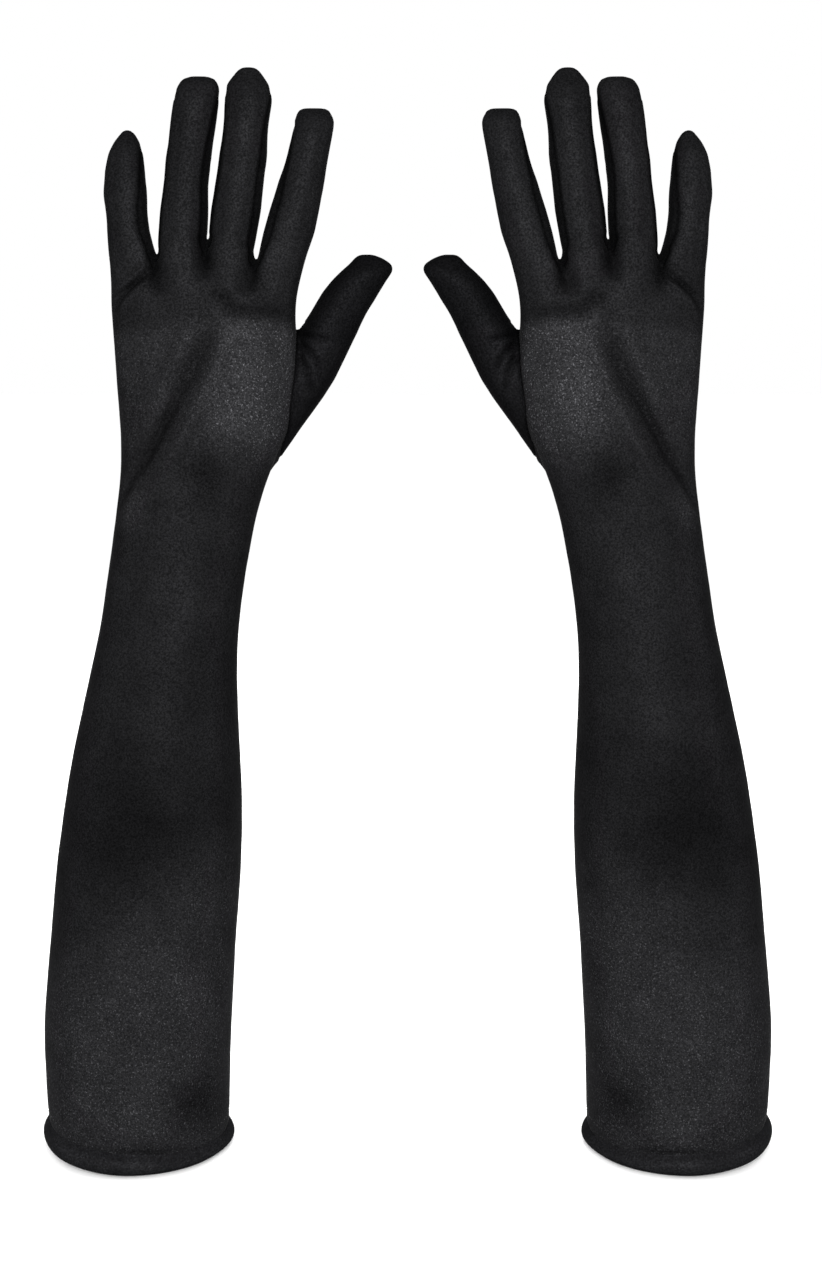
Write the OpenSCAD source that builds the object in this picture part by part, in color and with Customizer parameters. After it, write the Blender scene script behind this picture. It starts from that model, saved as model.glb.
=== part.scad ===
// A pair of elbow-length opera gloves in stretch satin, shaped as they are when worn, fingers up.
// Each glove is a trank (the one cloth of back, palm, fingers and sleeve), a set-in thumb, a
// fourchette strip between each two fingers and a turned-up hem. Where the cloth folds in wear, a
// piece is divided, so that each part of it can turn with its own joint.
// Left glove: back of the hand towards -Y, thumb towards +X. The right glove is its mirror image.

/* [Pair] */
// Distance between the centres of the two hems
hem_spacing = 242; // [236:2:320]

/* [Cloth] */
// Thickness of the satin
cloth = 0.6; // [0.5:0.1:0.8]
// Gap that stands for the cloth's fold where one part turns on the next
fold_gap = 0.3; // [0.2:0.1:0.5]
// Diameter of the sewing thread
thread = 0.4; // [0.3:0.1:0.5]

/* [Hem] */
// Bore that the arm passes through
arm_bore = 76.6; // [76:0.1:77]
// Height of the turned-up hem
hem_height = 15; // [14.5:0.5:15]

/* [Fingers] */
// Half angle of a finger's side that the fourchette covers, in steps of 18 degrees
fourchette_steps = 2; // [1:1:3]

/* [Hidden] */
// Rows are [height, centre x, centre y, half width, half depth] in the glove's own frame: origin at
// the hem's centre, +Z towards the fingertips, +X towards the thumb, +Y out of the palm.
sleeve_rows = [
    [hem_height + 0.1, 0, 0, 40.2, 40.2],
    [56, 0.5, 0, 41.5, 39],
    [93, 3.5, 0, 40.8, 37.5],
    [130, 7, 0, 40.6, 35.5],
    [166, 9.8, 0, 37.8, 32],
    [201, 13.2, 0, 33.2, 28],
    [237, 18, 0, 29.8, 23.5],
    [269, 23, 0, 29.6, 20.5],
];
wrist_rows = [
    [269, 23, 0, 29.6, 20.5],
    [281, 25.2, 0, 29.8, 19.8],
    [293, 28, 0, 30.6, 19.4],
];
hand_rows = [
    [293, 28, 0, 30.6, 19.4],
    [306, 30.9, 0.5, 32.6, 19],
    [316, 33.3, 1, 35, 18.3],
    [327, 35, 1, 37.2, 17.5],
    [340, 35.5, 1, 38.5, 16.6],
    [355, 34.9, 1, 38.7, 15.6],
    [368, 34.2, 0.8, 38.8, 14.4],
    [380, 35, 0.5, 39.4, 13],
    [391, 36.3, 0.2, 40.6, 11.6],
    [399, 36.8, 0, 41.2, 10.8],
];
// The thumb's gore, the part of the thumb piece that lies on the ball of the thumb
gore_rows = [
    [300, 50, 8, 5, 6],
    [306, 54, 8, 9.5, 10],
    [315, 59.5, 9, 11.5, 11.5],
    [323, 64.5, 10, 13, 12],
    [332, 70.5, 10.5, 13.8, 12],
    [340, 75.5, 10.5, 14, 11.8],
    [351, 82, 10, 12.8, 11.2],
    [362, 87.5, 10, 12.4, 10.8],
];
thumb_rows = [
    [362, 87.5, 10, 12.4, 10.8],
    [369, 91.5, 10, 12, 10.2],
    [376, 95.7, 10, 11.5, 9.6],
    [382, 100, 9.5, 11.3, 8.8],
    [386, 103.6, 9, 10.8, 7.4],
    [389.5, 105.5, 9, 8.2, 5],
    [391.5, 105.8, 9, 4, 2],
];
index_rows = [
    [391, 67.7, 0, 9.9, 9.6],
    [402, 71, 0.2, 10.6, 9.6],
    [412, 73.5, 0.6, 10.1, 9.2],
    [421, 75.8, 1, 9.1, 8.8],
    [432, 78.6, 1.6, 8.7, 8.4],
    [442, 81, 2.4, 8.4, 7.9],
    [448, 81.9, 2.8, 7.8, 6.8],
    [451, 81.6, 3, 6.4, 4.6],
    [452.2, 81.4, 3, 4.4, 2],
];
middle_rows = [
    [399, 46.7, 0, 9.9, 9.8],
    [411, 48.6, 0.3, 10.3, 9.8],
    [422, 50.2, 0.6, 10, 9.4],
    [432, 51.7, 1, 9.5, 9],
    [446, 53.2, 1.8, 9.2, 8.6],
    [456, 54.2, 2.6, 9.8, 8.2],
    [462, 54.1, 3, 9, 6.8],
    [466, 54.3, 3.2, 6, 4.4],
    [468.8, 54.4, 3.2, 1.8, 1.2],
];
ring_rows = [
    [399, 26.1, 0, 10.2, 9.6],
    [411, 26.9, 0.3, 9.9, 9.5],
    [421, 27.6, 0.6, 9.1, 9.1],
    [430, 28.6, 1, 8.8, 8.7],
    [443, 30.4, 1.8, 9.3, 8.4],
    [455, 32.2, 2.4, 9.4, 7.9],
    [461, 33.2, 2.8, 8.6, 6.6],
    [464.8, 33.8, 3, 6.6, 4.4],
    [466.3, 34, 3, 4.4, 2],
];
little_rows = [
    [393, 4.6, 0, 9.4, 9],
    [402, 3.1, 0.2, 8.7, 8.6],
    [410, 2.4, 0.5, 8.4, 8.3],
    [417, 2, 0.8, 8.4, 8],
    [427, 2, 1.4, 8.2, 7.5],
    [434, 2.5, 1.8, 7.1, 6.6],
    [439, 3.1, 2, 5, 4.8],
    [442, 3.4, 2, 2.8, 2.8],
    [443.4, 3.4, 2, 1.2, 1.2],
];
// The row of a finger or thumb at which its middle fold lies, and the row where a fourchette ends
MIDDLE_ROW = 3;
FOURCHETTE_END = 6;
THUMB_MIDDLE_ROW = 2;
FINGERS = [
    ["index", index_rows, [180]],
    ["middle", middle_rows, [0, 180]],
    ["ring", ring_rows, [0, 180]],
    ["little", little_rows, [0]],
];
// Points of a section, and how square it is: 2 is an ellipse
BODY_POINTS = 32;
FINGER_POINTS = 20;
THUMB_POINTS = 24;
SLEEVE_POWER = 2.1;
HAND_POWER = 2.5;
FINGER_POWER = 2.3;
RINGS_BETWEEN_ROWS = 2;
CROTCH_WIDTH = 26;
CUT_TOP = 500;

SIDES = ["left", "right"];
FINGER_PARTS = ["base", "tip", "base_fourchette", "tip_fourchette"];
ONE_GLOVE = [
    "hem", "hem_thread", "sleeve", "sleeve_seam_thread", "wrist", "wrist_seam_thread", "hand",
    "hand_seam_thread", "thumb_gore", "thumb_base", "thumb_tip", "crotches",
    for (f = FINGERS, p = FINGER_PARTS) str(f[0], "_", p),
];

SATIN = [0.09, 0.09, 0.1];
SATIN_LIGHT = [0.13, 0.13, 0.14];
HEM_COLOUR = [0.06, 0.06, 0.065];
THREAD_COLOUR = [0.02, 0.02, 0.02];

// Sections and surfaces ------------------------------------------------------------------------

function signed_power(v, p) = sign(v) * pow(abs(v), p);

// A section's point at an angle: 0 towards the thumb, 90 out of the palm
function section_point(row, angle, power, inset = 0) = [
    row[1] + (row[3] - inset) * signed_power(cos(angle), 2 / power),
    row[2] + (row[4] - inset) * signed_power(sin(angle), 2 / power),
    row[0],
];

function ring(row, count, power, inset = 0) =
    [for (j = [0:count - 1]) section_point(row, 360 * j / count, power, inset)];

function flat(lists) = [for (l = lists, v = l) v];

// A smooth curve through the rows (Catmull-Rom), with steps rings for each pair of rows
function spline_row(rows, i, t) =
    let (
        last = len(rows) - 1,
        a = rows[max(i - 1, 0)], b = rows[i], c = rows[min(i + 1, last)], d = rows[min(i + 2, last)]
    )
    0.5 * (2 * b + (c - a) * t + (2 * a - 5 * b + 4 * c - d) * t * t
        + (3 * b - a - 3 * c + d) * t * t * t);

function smooth_rows(rows, steps) = [
    for (i = [0:len(rows) - 2], s = [0:steps - 1]) spline_row(rows, i, s / steps),
    rows[len(rows) - 1],
];

function slice(rows, first, last) = [for (i = [first:last]) rows[i]];

// The rows with the last one lower
function lowered(rows, by) =
    [for (i = [0:len(rows) - 1]) rows[i] - (i == len(rows) - 1 ? by : 0) * [1, 0, 0, 0, 0]];

// Cloth of one thickness over the rows. It has a cell where present(row, column) is true, and is
// closed over the last row when capped.
module cloth_shell(rows, count, power, capped = false, present = function(i, j) true) {
    m = len(rows);
    top_in = capped ? cloth : 0;
    outer = [for (r = rows) ring(r, count, power)];
    inner = [for (i = [0:m - 1])
        let (r = rows[i])
        ring([r[0] - (i == m - 1 ? top_in : 0), r[1], r[2], r[3], r[4]], count, power, cloth)];
    function at(i, j) = i * count + (j + count) % count;
    function within(i, j) = at(i, j) + m * count;
    function there(i, j) = i >= 0 && i < m - 1 && present(i, (j + count) % count);
    cells = flat([for (i = [0:m - 2], j = [0:count - 1]) if (there(i, j)) flat([
        [[at(i, j), at(i + 1, j), at(i + 1, j + 1)], [at(i, j), at(i + 1, j + 1), at(i, j + 1)]],
        [[within(i, j), within(i + 1, j + 1), within(i + 1, j)],
            [within(i, j), within(i, j + 1), within(i + 1, j + 1)]],
        there(i - 1, j) ? [] : rim(at(i, j), at(i, j + 1), within(i, j), within(i, j + 1)),
        there(i + 1, j) || (capped && i == m - 2) ? []
            : rim(at(i + 1, j + 1), at(i + 1, j), within(i + 1, j + 1), within(i + 1, j)),
        there(i, j - 1) ? [] : rim(at(i + 1, j), at(i, j), within(i + 1, j), within(i, j)),
        there(i, j + 1) ? [] : rim(at(i, j + 1), at(i + 1, j + 1), within(i, j + 1),
            within(i + 1, j + 1)),
    ])]);
    cap = capped ? flat([for (k = [1:count - 2]) [
        [at(m - 1, 0), at(m - 1, k + 1), at(m - 1, k)],
        [within(m - 1, 0), within(m - 1, k), within(m - 1, k + 1)],
    ]]) : [];
    polyhedron(concat(flat(outer), flat(inner)), concat(cells, cap));
}

// The edge of the cloth between the outer points a, b and the inner points c, d
function rim(a, b, c, d) = [[a, b, d], [a, d, c]];

// A solid through the rows, for cutting: one hull for each pair of rows
module solid_through(rows, count, power, inset = 0) {
    for (i = [0:len(rows) - 2]) {
        pair = concat(ring(rows[i], count, power, inset), ring(rows[i + 1], count, power, inset));
        hull() polyhedron(pair, [[for (k = [0:len(pair) - 1]) k]]);
    }
}

// Thread along the cloth's outer face: one ring of sides for each point of the line
module thread_line(points) {
    sides = 6;
    m = len(points);
    tube = [for (p = points, k = [0:sides - 1])
        p + thread / 2 * [cos(360 * k / sides), sin(360 * k / sides), 0]];
    function at(i, k) = i * sides + (k % sides);
    walls = [for (i = [0:m - 2], k = [0:sides - 1], half = [0, 1])
        half == 0 ? [at(i, k), at(i + 1, k), at(i + 1, k + 1)]
            : [at(i, k), at(i + 1, k + 1), at(i, k + 1)]];
    ends = flat([for (k = [1:sides - 2])
        [[at(0, 0), at(0, k), at(0, k + 1)], [at(m - 1, 0), at(m - 1, k + 1), at(m - 1, k)]]]);
    polyhedron(tube, concat(walls, ends));
}

// A strip of cloth along a flat line, as a 2D outline
module strip(line, thick) {
    last = len(line) - 1;
    function across(i) =
        let (d = line[min(i + 1, last)] - line[max(i - 1, 0)])
        [-d[1], d[0]] / norm(d) * thick / 2;
    polygon(concat(
        [for (i = [0:last]) line[i] + across(i)],
        [for (i = [last:-1:0]) line[i] - across(i)]
    ));
}

// Pieces of one glove ---------------------------------------------------------------------------

turned_up = arm_bore / 2 + cloth / 2;
foot = cloth / 2;
hem_top = sleeve_rows[0][3] - cloth / 2;

// The middle of the hem's cloth as [radius, height]: down the outside, which flares, under the
// edge, where it is flat, and up again inside against the arm
hem_line = [
    [hem_top, hem_height],
    [hem_top, hem_height - 3],
    [hem_top + 0.6, 9.5],
    [hem_top + 1.3, 7],
    [hem_top + 1.6, 5],
    [hem_top + 1.5, 3],
    [hem_top + 1, 1.2],
    [turned_up + 1.8, foot],
    [turned_up + 1.5, foot],
    [turned_up + 0.8, foot],
    [turned_up + 0.5, foot],
    [turned_up, 1.1],
    [turned_up, 2],
    [turned_up, hem_height - 1],
];

module hem() color(HEM_COLOUR) rotate_extrude($fn = 96) strip(hem_line, cloth);

// The thread that holds the turned-up cloth, just below its inner edge
module hem_thread() color(THREAD_COLOUR)
    rotate_extrude($fn = 96)
        translate([sleeve_rows[0][3] + 0.05 + thread / 2, hem_height - 2]) circle(d = thread, $fn = 16);

sleeve_rings = lowered(smooth_rows(sleeve_rows, RINGS_BETWEEN_ROWS), fold_gap);
wrist_rings = lowered(smooth_rows(wrist_rows, RINGS_BETWEEN_ROWS), fold_gap);

module sleeve() color(SATIN) cloth_shell(sleeve_rings, BODY_POINTS, SLEEVE_POWER);

// The cloth over the wrist, which folds when the hand bends
module wrist() color(SATIN) cloth_shell(wrist_rings, BODY_POINTS, SLEEVE_POWER);

// The seam that closes the trank runs up the side away from the thumb
function seam_point(row) = [row[1] - row[3] - thread / 2 - 0.1, row[2], row[0]];

module sleeve_seam_thread() color(THREAD_COLOUR)
    thread_line([for (r = slice(sleeve_rings, 1, len(sleeve_rings) - 1)) seam_point(r)]);

module wrist_seam_thread() color(THREAD_COLOUR)
    thread_line([for (r = wrist_rings) seam_point(r)]);

module hand_seam_thread() color(THREAD_COLOUR)
    thread_line([for (r = slice(hand_rows, 0, len(hand_rows) - 2)) seam_point(r)]);

// Crotches between the fingers: [centre x, lowest height, height at the little-finger side, at the
// index side]
CROTCHES = [
    [15, 391.4, little_rows[0][0], ring_rows[0][0]],
    [36.6, 397, ring_rows[0][0], middle_rows[0][0]],
    [57.5, 389.4, middle_rows[0][0], index_rows[0][0]],
];

module above_the_folds() {
    crotch_little = CROTCHES[0][0];
    crotch_index = CROTCHES[2][0];
    far = 60;
    translate([-far, -far, little_rows[0][0] - fold_gap])
        cube([far + crotch_little, 2 * far, CUT_TOP]);
    translate([0, -far, ring_rows[0][0] - fold_gap]) cube([2 * far, 2 * far, CUT_TOP]);
    translate([crotch_index, -far, index_rows[0][0] - fold_gap]) cube([far, 2 * far, CUT_TOP]);
}

module hand() color(SATIN) difference() {
    solid_through(hand_rows, BODY_POINTS, HAND_POWER);
    solid_through(opened(hand_rows), BODY_POINTS, HAND_POWER, cloth);
    solid_through(gore_rows, THUMB_POINTS, FINGER_POWER);
    above_the_folds();
}

// The rows with both ends drawn out, so that a cut goes clear through them
function opened(rows) =
    let (last = len(rows) - 1)
    concat([rows[0] - [1, 0, 0, 0, 0]], rows, [rows[last] + [1, 0, 0, 0, 0]]);

module thumb_gore() color(SATIN_LIGHT) difference() {
    solid_through(lowered(gore_rows, fold_gap), THUMB_POINTS, FINGER_POWER);
    solid_through(opened(gore_rows), THUMB_POINTS, FINGER_POWER, cloth);
    solid_through(hand_rows, BODY_POINTS, HAND_POWER);
}

module thumb_base() color(SATIN_LIGHT)
    cloth_shell(lowered(slice(thumb_rows, 0, THUMB_MIDDLE_ROW), fold_gap), THUMB_POINTS, FINGER_POWER);

module thumb_tip() color(SATIN_LIGHT)
    cloth_shell(slice(thumb_rows, THUMB_MIDDLE_ROW, len(thumb_rows) - 1), THUMB_POINTS,
        FINGER_POWER, capped = true);

// The bottom of each fourchette, where it turns from one finger to the next
module crotches() color(SATIN_LIGHT) intersection() {
    for (c = CROTCHES)
        translate([0, CROTCH_WIDTH / 2, 0]) rotate([90, 0, 0]) linear_extrude(CROTCH_WIDTH)
            strip([
                [c[0] - 0.8, c[2] - 2 * fold_gap],
                [c[0] - 0.6, c[1] + 0.6],
                [c[0], c[1]],
                [c[0] + 0.6, c[1] + 0.6],
                [c[0] + 0.8, c[3] - 2 * fold_gap],
            ], cloth);
    solid_through(opened(hand_rows), BODY_POINTS, HAND_POWER, cloth + 0.1);
}

// Whether a column of a finger's section lies on a side that a fourchette covers
function on_side(j, sides) =
    let (step = 360 / FINGER_POINTS, middle = (j + 0.5) * step)
    len([for (s = sides) if (abs((middle - s + 540) % 360 - 180) < fourchette_steps * step) s]) > 0;

module finger_base(rows, sides, fourchette) {
    cloth_shell(lowered(slice(rows, 0, MIDDLE_ROW), fold_gap), FINGER_POINTS, FINGER_POWER,
        present = function(i, j) on_side(j, sides) == fourchette);
}

module finger_tip(rows, sides, fourchette) {
    top = FOURCHETTE_END - MIDDLE_ROW;
    part = slice(rows, MIDDLE_ROW, fourchette ? FOURCHETTE_END : len(rows) - 1);
    cloth_shell(part, FINGER_POINTS, FINGER_POWER, capped = !fourchette,
        present = function(i, j) (on_side(j, sides) && i < top) == fourchette);
}

module finger_piece(finger, part) {
    fourchette = part == "base_fourchette" || part == "tip_fourchette";
    color(fourchette ? SATIN_LIGHT : SATIN)
        if (part == "base" || part == "base_fourchette") finger_base(finger[1], finger[2], fourchette);
        else finger_tip(finger[1], finger[2], fourchette);
}

module glove_piece(name) {
    if (name == "hem") hem();
    if (name == "hem_thread") hem_thread();
    if (name == "sleeve") sleeve();
    if (name == "sleeve_seam_thread") sleeve_seam_thread();
    if (name == "wrist") wrist();
    if (name == "wrist_seam_thread") wrist_seam_thread();
    if (name == "hand") hand();
    if (name == "hand_seam_thread") hand_seam_thread();
    if (name == "thumb_gore") thumb_gore();
    if (name == "thumb_base") thumb_base();
    if (name == "thumb_tip") thumb_tip();
    if (name == "crotches") crotches();
    for (f = FINGERS, p = FINGER_PARTS)
        if (name == str(f[0], "_", p)) finger_piece(f, p);
}

// The right glove is the left one's mirror image
module placed(side, name) {
    if (side == "left") translate([-hem_spacing / 2, 0, 0]) glove_piece(name);
    else translate([hem_spacing / 2, 0, 0]) mirror([1, 0, 0]) glove_piece(name);
}

for (side = SIDES, name = ONE_GLOVE)
    placed(side, name);
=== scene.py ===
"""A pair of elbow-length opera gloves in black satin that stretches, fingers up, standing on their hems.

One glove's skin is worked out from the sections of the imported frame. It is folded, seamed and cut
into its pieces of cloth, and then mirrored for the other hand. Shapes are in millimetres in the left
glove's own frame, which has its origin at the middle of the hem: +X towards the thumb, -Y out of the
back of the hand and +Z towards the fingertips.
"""
import math

import bmesh
import bpy
import numpy as np
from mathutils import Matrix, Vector
from mathutils.kdtree import KDTree


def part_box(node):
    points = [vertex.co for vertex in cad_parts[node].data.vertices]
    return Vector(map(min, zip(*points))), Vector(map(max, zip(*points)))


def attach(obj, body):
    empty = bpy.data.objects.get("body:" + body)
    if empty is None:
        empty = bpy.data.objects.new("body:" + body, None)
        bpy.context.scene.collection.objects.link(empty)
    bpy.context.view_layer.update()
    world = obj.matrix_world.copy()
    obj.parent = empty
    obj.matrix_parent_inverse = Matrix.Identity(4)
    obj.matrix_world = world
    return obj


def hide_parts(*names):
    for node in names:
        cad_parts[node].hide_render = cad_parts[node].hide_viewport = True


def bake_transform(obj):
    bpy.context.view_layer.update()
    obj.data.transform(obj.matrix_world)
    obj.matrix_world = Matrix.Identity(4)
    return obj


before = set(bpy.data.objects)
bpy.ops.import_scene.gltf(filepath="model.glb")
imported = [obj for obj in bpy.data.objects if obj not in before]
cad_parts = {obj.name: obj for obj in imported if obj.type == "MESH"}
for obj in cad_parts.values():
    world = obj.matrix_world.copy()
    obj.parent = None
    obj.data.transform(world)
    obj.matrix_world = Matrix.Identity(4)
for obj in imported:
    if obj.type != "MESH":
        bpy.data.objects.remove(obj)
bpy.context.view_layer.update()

# Sizes, in mm
MM = 0.001  # one of them in metres
CLOTH = 0.55  # thickness of the satin
GRID_STEP = 1.15  # cell of the grid that the hand's skin is found on
SLEEVE_COLUMNS = 132  # quads around the sleeve
AROUND = np.arange(SLEEVE_COLUMNS) * 2 * math.pi / SLEEVE_COLUMNS
SLEEVE_RING_STEP = 2.0  # height between its rings
LEVEL_REACH = 0.06  # how far from a level its points may be
FINGERS = ("index", "middle", "ring", "little")
DIGITS = FINGERS + ("thumb",)

low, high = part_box("left_hem")
ORIGIN = np.array([(low.x + high.x) / 2, 0, 0]) / MM


# --- Reading the frame ---

def node_points(*names):
    """The vertices of left-glove nodes, in the glove's own frame."""
    found = []
    for name in names:
        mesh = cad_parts["left_" + name].data
        co = np.empty(len(mesh.vertices) * 3, np.float32)
        mesh.vertices.foreach_get("co", co)
        found.append(co.reshape(-1, 3).astype(float) / MM - ORIGIN)
    return np.concatenate(found)


def height(name, top=False):
    """Where a left-glove node starts, or where it ends."""
    low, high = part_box("left_" + name)
    return (high if top else low).z / MM


def rings_of(*names):
    """Each level of the nodes' vertices, with how many it has and the points on it."""
    points = node_points(*names)
    levels, counts = np.unique(points[:, 2].round(1), return_counts=True)
    for level, count in zip(levels, counts):
        yield level, count, points[np.abs(points[:, 2] - level) < LEVEL_REACH]


def rows_of(*names, fewest=240, highest=1e9):
    """Level sections of nodes, as rows of height, centre x, centre y, half width and half depth."""
    rows = []
    for level, count, ring in rings_of(*names):
        if count < fewest or level > highest:
            continue
        centre = ring[ring[:, 1].argmax(), 0]
        half = max(centre - ring[:, 0].min(), ring[:, 0].max() - centre)
        front, back = ring[:, 1].min(), ring[:, 1].max()
        rows.append([level, centre, (front + back) / 2, half, (back - front) / 2])
    return rows


GORE_DEPTH = 0.87  # half depth of the thumb piece on the hand, as a share of its half width


def gore_rows():
    """The thumb piece on the ball of the thumb, whose far side alone is whole."""
    rows = []
    for level, count, ring in rings_of("thumb_gore"):
        centre = ring[ring[:, 1].argmax(), 0]
        half = ring[:, 0].max() - centre
        if count > 170 and half > 5:
            depth = GORE_DEPTH * half
            rows.append([level, centre, ring[:, 1].max() - depth, half, depth])
    return rows


# --- Implicit shapes ---

def smooth_min(a, b, width):
    """The lesser of two distances, with a fillet of this width between them."""
    h = np.clip(0.5 + 0.5 * (b - a) / width, 0, 1)
    return b + (a - b) * h - width * h * (1 - h)


def smooth_max(a, b, width):
    return -smooth_min(-a, -b, width)


def smooth_step(x, start, end):
    """0 up to the start and 1 from the end on."""
    t = np.clip((x - start) / (end - start), 0, 1)
    return t * t * (3 - 2 * t)


def bump(p, centre, size):
    """1 at the centre, and fading to 0 over about twice the size."""
    return np.exp(-(((p - np.array(centre)) / np.array(size)) ** 2).sum(1))


class Tube:
    """A form with level superellipse sections that change with height."""
    STEP = 0.5  # height between the sections that it keeps
    TOP_ROUND, LOW_ROUND = 2.2, 1.5  # fillets at its ends
    RUN_DOWN_SHARE = 0.86  # how wide its run down into another form is, beside its first section

    def __init__(self, rows, power, blur, run_down=0.0):
        rows = np.array(rows)
        if run_down:
            first = rows[0] - (rows[1] - rows[0]) * run_down / (rows[1, 0] - rows[0, 0])
            first[3:] = self.RUN_DOWN_SHARE * rows[0, 3:]
            rows = np.concatenate([[first], rows])
        self.low, self.top = rows[0, 0], rows[-1, 0]
        self.z = np.arange(rows[0, 0], self.top + self.STEP, self.STEP)
        reach = int(3 * blur / self.STEP) + 1
        kernel = np.exp(-0.5 * (np.arange(-reach, reach + 1) * self.STEP / blur) ** 2)
        kernel /= kernel.sum()
        self.columns = []
        for k in range(1, 5):
            line = np.interp(self.z, rows[:, 0], rows[:, k])
            before = 2 * line[0] - line[reach:0:-1]
            after = 2 * line[-1] - line[-2:-reach - 2:-1]
            self.columns.append(np.convolve(np.concatenate([before, line, after]), kernel, "valid"))
        self.power = power

    def section(self, z):
        """Centre x, centre y, half width and half depth at heights."""
        return [np.interp(z, self.z, c) for c in self.columns]

    def offset(self, p):
        """Place across the section: -1 to 1 from side to side, and -1 to 1 from back to palm."""
        cx, cy, half, depth = self.section(p[:, 2])
        return (p[:, 0] - cx) / half, (p[:, 1] - cy) / depth

    def size(self, p, lift=0.0):
        """Each point's distance from the middle as a share of the section's, and the terms of it."""
        cx, cy, half, depth = self.section(p[:, 2] + lift)
        power = self.power(p[:, 2]) if callable(self.power) else self.power
        u, v = np.abs((p[:, 0] - cx) / half), np.abs((p[:, 1] - cy) / depth)
        return np.maximum((u ** power + v ** power) ** (1 / power), 0.02), u, v, half, depth, power

    def distance(self, p):
        """About how far each point is outside the form, or below 0 inside it."""
        n, u, v, half, depth, power = self.size(p)
        fall = n ** (1 - power)
        gx, gy = u ** (power - 1) / half * fall, v ** (power - 1) / depth * fall
        gz = (self.size(p, self.STEP)[0] - n) / self.STEP / np.maximum(n, 1) ** 2
        d = (n - 1) / np.sqrt(gx ** 2 + gy ** 2 + gz ** 2 + 1e-6)
        d = smooth_max(d, p[:, 2] - self.top, self.TOP_ROUND)
        return smooth_max(d, self.low - p[:, 2], self.LOW_ROUND)


# --- The hand that fills the glove ---

WRIST = height("wrist")
HAND_LOW = height("hand")
HAND_START = HAND_LOW + 7  # where the hand's cloth takes over from the sleeve's
BASE = {digit: height(digit + "_base") for digit in DIGITS}
MIDDLE = {digit: height(digit + "_tip") for digit in DIGITS}
TOP = {digit: height(digit + "_tip", top=True) for digit in DIGITS}

# A fingertip's height beyond the frame's, how blunt it is, and the width of its very end
TIPS = {"index": (0.5, 1.1, 0.9), "middle": (0.5, 1.05, 0.55), "ring": (-0.9, 1.04, 0.8),
        "little": (0.5, 1.06, 0.62)}
BLUNT_FROM, BLUNT_TO = 8, 2  # how far below the top the bluntness starts, and where it is whole
DIGIT_POWER = 2.3  # a digit's section is a little squarer than an ellipse


def body_rows():
    """The sections of the sleeve, the wrist and the hand, which gets thinner at the fingers."""
    rows = (rows_of("sleeve") + rows_of("wrist")[1:-1]
            + rows_of("hand", fewest=300, highest=BASE["little"] - 1))
    last = rows[-1]
    return rows + [[last[0] + 14, *last[1:4], 0.78 * last[4]]]


def body_power(z):
    """Nearly an ellipse on the forearm, and squarer on the hand."""
    return 2.1 + 0.4 * smooth_step(z, WRIST, HAND_LOW + 25)


def finger_form(name):
    """A finger with a blunt tip, which runs down into the hand."""
    ends = ("_base", "_base_fourchette", "_tip", "_tip_fourchette")
    more, blunt, end = TIPS[name]
    top = TOP[name]
    rows = [list(r) for r in rows_of(*[name + part for part in ends]) if r[0] < top - 0.3]
    for row in rows:
        row[3] *= 1 + (blunt - 1) * smooth_step(row[0], top - BLUNT_FROM, top - BLUNT_TO)
    last = rows[-1]
    rows.append([top + more, last[1], last[2], end * last[3], 0.6 * last[4]])
    return Tube(rows, DIGIT_POWER, blur=1.2, run_down=26)


def thumb_form():
    """The thumb, with its gore, whose lower end runs out inside the wrist."""
    top = TOP["thumb"]
    rows = [r for r in gore_rows() + rows_of("thumb_base", "thumb_tip") if r[0] < top - 2.5]
    first, last = rows[0], rows[-1]
    low = [first[0] - 16, first[1] - 14, first[2] - 3, 0.6 * first[3], 0.6 * first[4]]
    tip = [top - 2.6, last[1] + 1.6, last[2], 0.83 * last[3], 0.75 * last[4]]
    end = [top + 1.2, last[1] - 0.2, last[2], 0.36 * last[3], 0.4 * last[4]]
    return Tube([low, *rows, tip, end], DIGIT_POWER, blur=1.1)


body = Tube(body_rows(), body_power, blur=6.0)
body.top += 40  # past the web, which is what ends it
fingers = {name: finger_form(name) for name in FINGERS}
thumb = thumb_form()
digits = {**fingers, "thumb": thumb}

# The places between two fingers, as x, lowest z and the fingers' names
CROTCHES = []
crotch_points = node_points("crotches")
for a, b in zip(FINGERS, FINGERS[1:]):
    (xa, _, ha, _), (xb, _, hb, _) = fingers[a].section(BASE[a]), fingers[b].section(BASE[b])
    middle = ((xa - ha) + (xb + hb)) / 2
    near = crotch_points[np.abs(crotch_points[:, 0] - middle) < 3]
    CROTCHES.append((middle, near[:, 2].min(), a, b))

# The middle of each finger's base, and the web's height across the hand: low at the crotches, and
# arched over each finger
CENTRE = {name: float(fingers[name].section(BASE[name])[0]) for name in FINGERS}
WEB = [(c[0], c[1]) for c in CROTCHES]
for name in FINGERS:
    WEB.append((CENTRE[name], BASE[name] + (14 if name in ("index", "little") else 8)))
WEB = np.array(sorted(WEB))
WEB_ROUND = 8.0  # how softly the hand ends there
FINGER_FILLET, THUMB_FILLET = 2.6, 2.2
THUMB_FILLET_MORE = 8  # how much wider the thumb's is on the palm side

KNUCKLE_DROP = 20  # how far below a finger's base its knuckle is
KNUCKLE_RISE, KNUCKLE_SIZE = 1.1, (7.5, 8.0)
# Hollows and pads as the side, height or depth below 0, middle and size: the palm's hollow, the
# heel of the hand, and the end of the ulna
BACK, PALM = -1, 1
PADS = [(PALM, -2.2, (33, 17, 348), (15, 14, 26)), (PALM, 1.3, (10, 17, 328), (13, 12, 22)),
        (BACK, 1.2, (3, -10, 284), (9, 14, 9))]

SLOT_HALF = 0.7  # half of the least gap between two fingers
VALLEY_HALF = 3.0  # half width of the valley below a crotch
VALLEY_BACK, VALLEY_PALM = 3.0, 1.2  # and its depth on each side


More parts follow.
